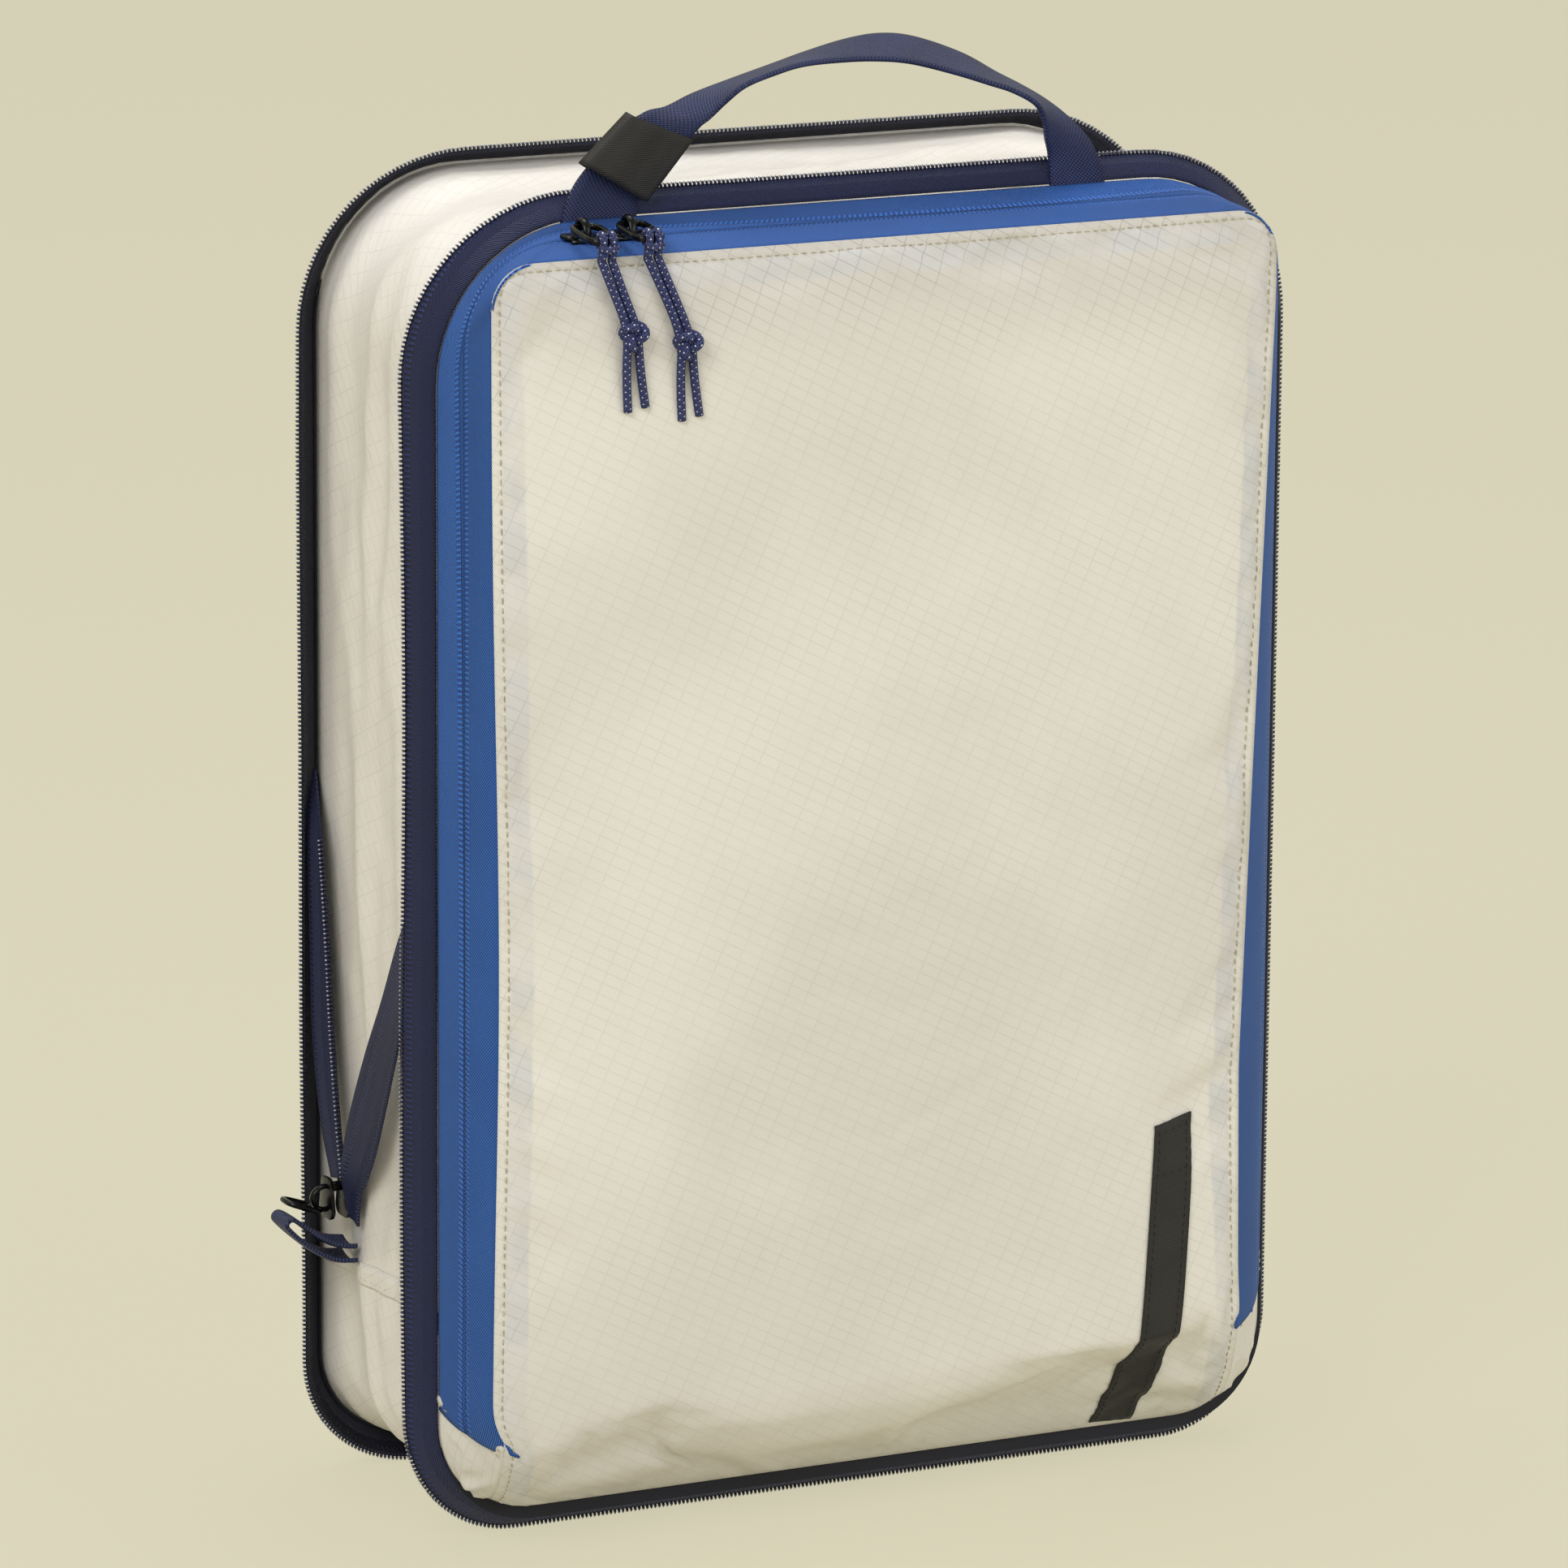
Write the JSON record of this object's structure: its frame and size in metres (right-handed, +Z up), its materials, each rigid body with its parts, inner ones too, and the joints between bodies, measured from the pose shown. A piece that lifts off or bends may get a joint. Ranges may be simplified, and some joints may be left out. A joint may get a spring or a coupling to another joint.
{
  "type": "packing cube",
  "caption": "Soft travel packing cube with a zipped front flap, an open compression zipper round an expanding gusset, and a top handle.",
  "frame": {"origin": "on the floor, under the middle of the front compression flange, at the middle of its bottom edge", "axes": "+X to the right as seen from the front, +Y from the front panel towards the back panel, +Z up"},
  "size_m": [0.2843, 0.1312, 0.4125],
  "materials": {
    "ripstop_cloth": "satin",
    "binding_tape": "matte",
    "blue_zip_tape": "matte",
    "blue_zip_coil": "satin",
    "navy_zip_tape": "matte",
    "navy_zip_coil": "satin",
    "navy_webbing": "matte",
    "black_label": "matte",
    "gunmetal": "satin",
    "fleck_cord": "matte"
  },
  "bodies": {
    "front_frame": {"front_zip_tape": "navy_zip_tape", "front_zip_coil": "navy_zip_coil", "front_seam_binding": "binding_tape", "gusset_front_band": "ripstop_cloth", "main_zip_outer_tape": "blue_zip_tape", "main_zip_outer_coil": "blue_zip_coil", "corner_patch_left": "ripstop_cloth", "corner_patch_right": "ripstop_cloth", "front_panel_lower": "ripstop_cloth", "label_strip_foot": "black_label", "front_zip_tail": "navy_zip_tape"},
    "front_flap": {"front_panel": "ripstop_cloth", "main_zip_inner_tape": "blue_zip_tape", "main_zip_inner_coil": "blue_zip_coil", "label_strip": "black_label"},
    "zip_carrier": {"gusset_middle_band": "ripstop_cloth", "grab_tab": "navy_webbing"},
    "back_section": {"back_panel": "ripstop_cloth", "back_seam_binding": "binding_tape", "back_zip_tape": "navy_zip_tape", "back_zip_coil": "navy_zip_coil", "gusset_rear_band": "ripstop_cloth", "back_zip_tail": "navy_zip_tape"},
    "compression_slider": {"compression_slider_body": "gunmetal", "compression_slider_bail": "gunmetal"},
    "compression_puller": {"compression_puller": "gunmetal"},
    "main_slider_left": {"main_slider_left_body": "gunmetal", "main_slider_left_bail": "gunmetal"},
    "main_puller_left": {"main_puller_left": "gunmetal", "cord_hitch_left": "fleck_cord"},
    "cord_pull_left": {"cord_strand_left_a": "fleck_cord", "cord_strand_left_b": "fleck_cord", "cord_knot_left": "fleck_cord"},
    "main_slider_right": {"main_slider_right_body": "gunmetal", "main_slider_right_bail": "gunmetal"},
    "main_puller_right": {"main_puller_right": "gunmetal", "cord_hitch_right": "fleck_cord", "cord_strand_right_a": "fleck_cord", "cord_strand_right_b": "fleck_cord", "cord_knot_right": "fleck_cord"},
    "handle": {"carry_handle": "navy_webbing", "size_tag": "black_label"}
  },
  "joints": [
    {"name": "flap_hinge", "type": "hinge", "parent": "front_frame", "child": "front_flap", "pos_m": [0, -0.0372, 0.0422], "axis": [1, 0, 0], "range_deg": [0, 95]},
    {"name": "compress", "type": "slide", "parent": "front_frame", "child": "zip_carrier", "axis": [0, 1, 0], "range_m": [-0.035, 0], "deforming": ["front_zip_tail"]},
    {"name": "compress_back", "type": "slide", "parent": "zip_carrier", "child": "back_section", "axis": [0, 1, 0], "range_m": [-0.0049, 0], "deforming": ["back_zip_tail"]},
    {"name": "compression_slider_travel", "type": "slide", "parent": "zip_carrier", "child": "compression_slider", "axis": [0, 0, 1], "range_m": [0, 0.2]},
    {"name": "compression_puller_swing", "type": "hinge", "parent": "compression_slider", "child": "compression_puller", "pos_m": [-0.1382, 0.055, 0.086], "axis": [0, 1, 0], "range_deg": [0, 80]},
    {"name": "left_slider_corner", "type": "hinge", "parent": "front_flap", "child": "main_slider_left", "pos_m": [-0.0934, -0.0225, 0.3324], "axis": [0, -1, 0], "range_deg": [0, 85]},
    {"name": "left_puller_lift", "type": "hinge", "parent": "main_slider_left", "child": "main_puller_left", "pos_m": [-0.0934, -0.0235, 0.3705], "axis": [-1, 0, 0], "range_deg": [0, 100]},
    {"name": "left_cord_swing", "type": "hinge", "parent": "main_puller_left", "child": "cord_pull_left", "pos_m": [-0.0934, -0.0386, 0.3685], "axis": [0, -1, 0], "range_deg": [-85, 0]},
    {"name": "right_slider_travel", "type": "slide", "parent": "front_flap", "child": "main_slider_right", "axis": [1, 0, 0], "range_m": [0, 0.161]},
    {"name": "right_puller_lift", "type": "hinge", "parent": "main_slider_right", "child": "main_puller_right", "pos_m": [-0.0799, -0.0235, 0.3705], "axis": [-1, 0, 0], "range_deg": [0, 100]},
    {"name": "handle_fold", "type": "hinge", "parent": "front_frame", "child": "handle", "pos_m": [0, -0.009, 0.3705], "axis": [1, 0, 0], "range_deg": [-40, 70]}
  ],
  "couplings": [
    {"joint": "compress_back", "follows": "compress", "ratio": 0.14},
    {"joint": "left_cord_swing", "follows": "left_slider_corner", "ratio": -1}
  ]
}
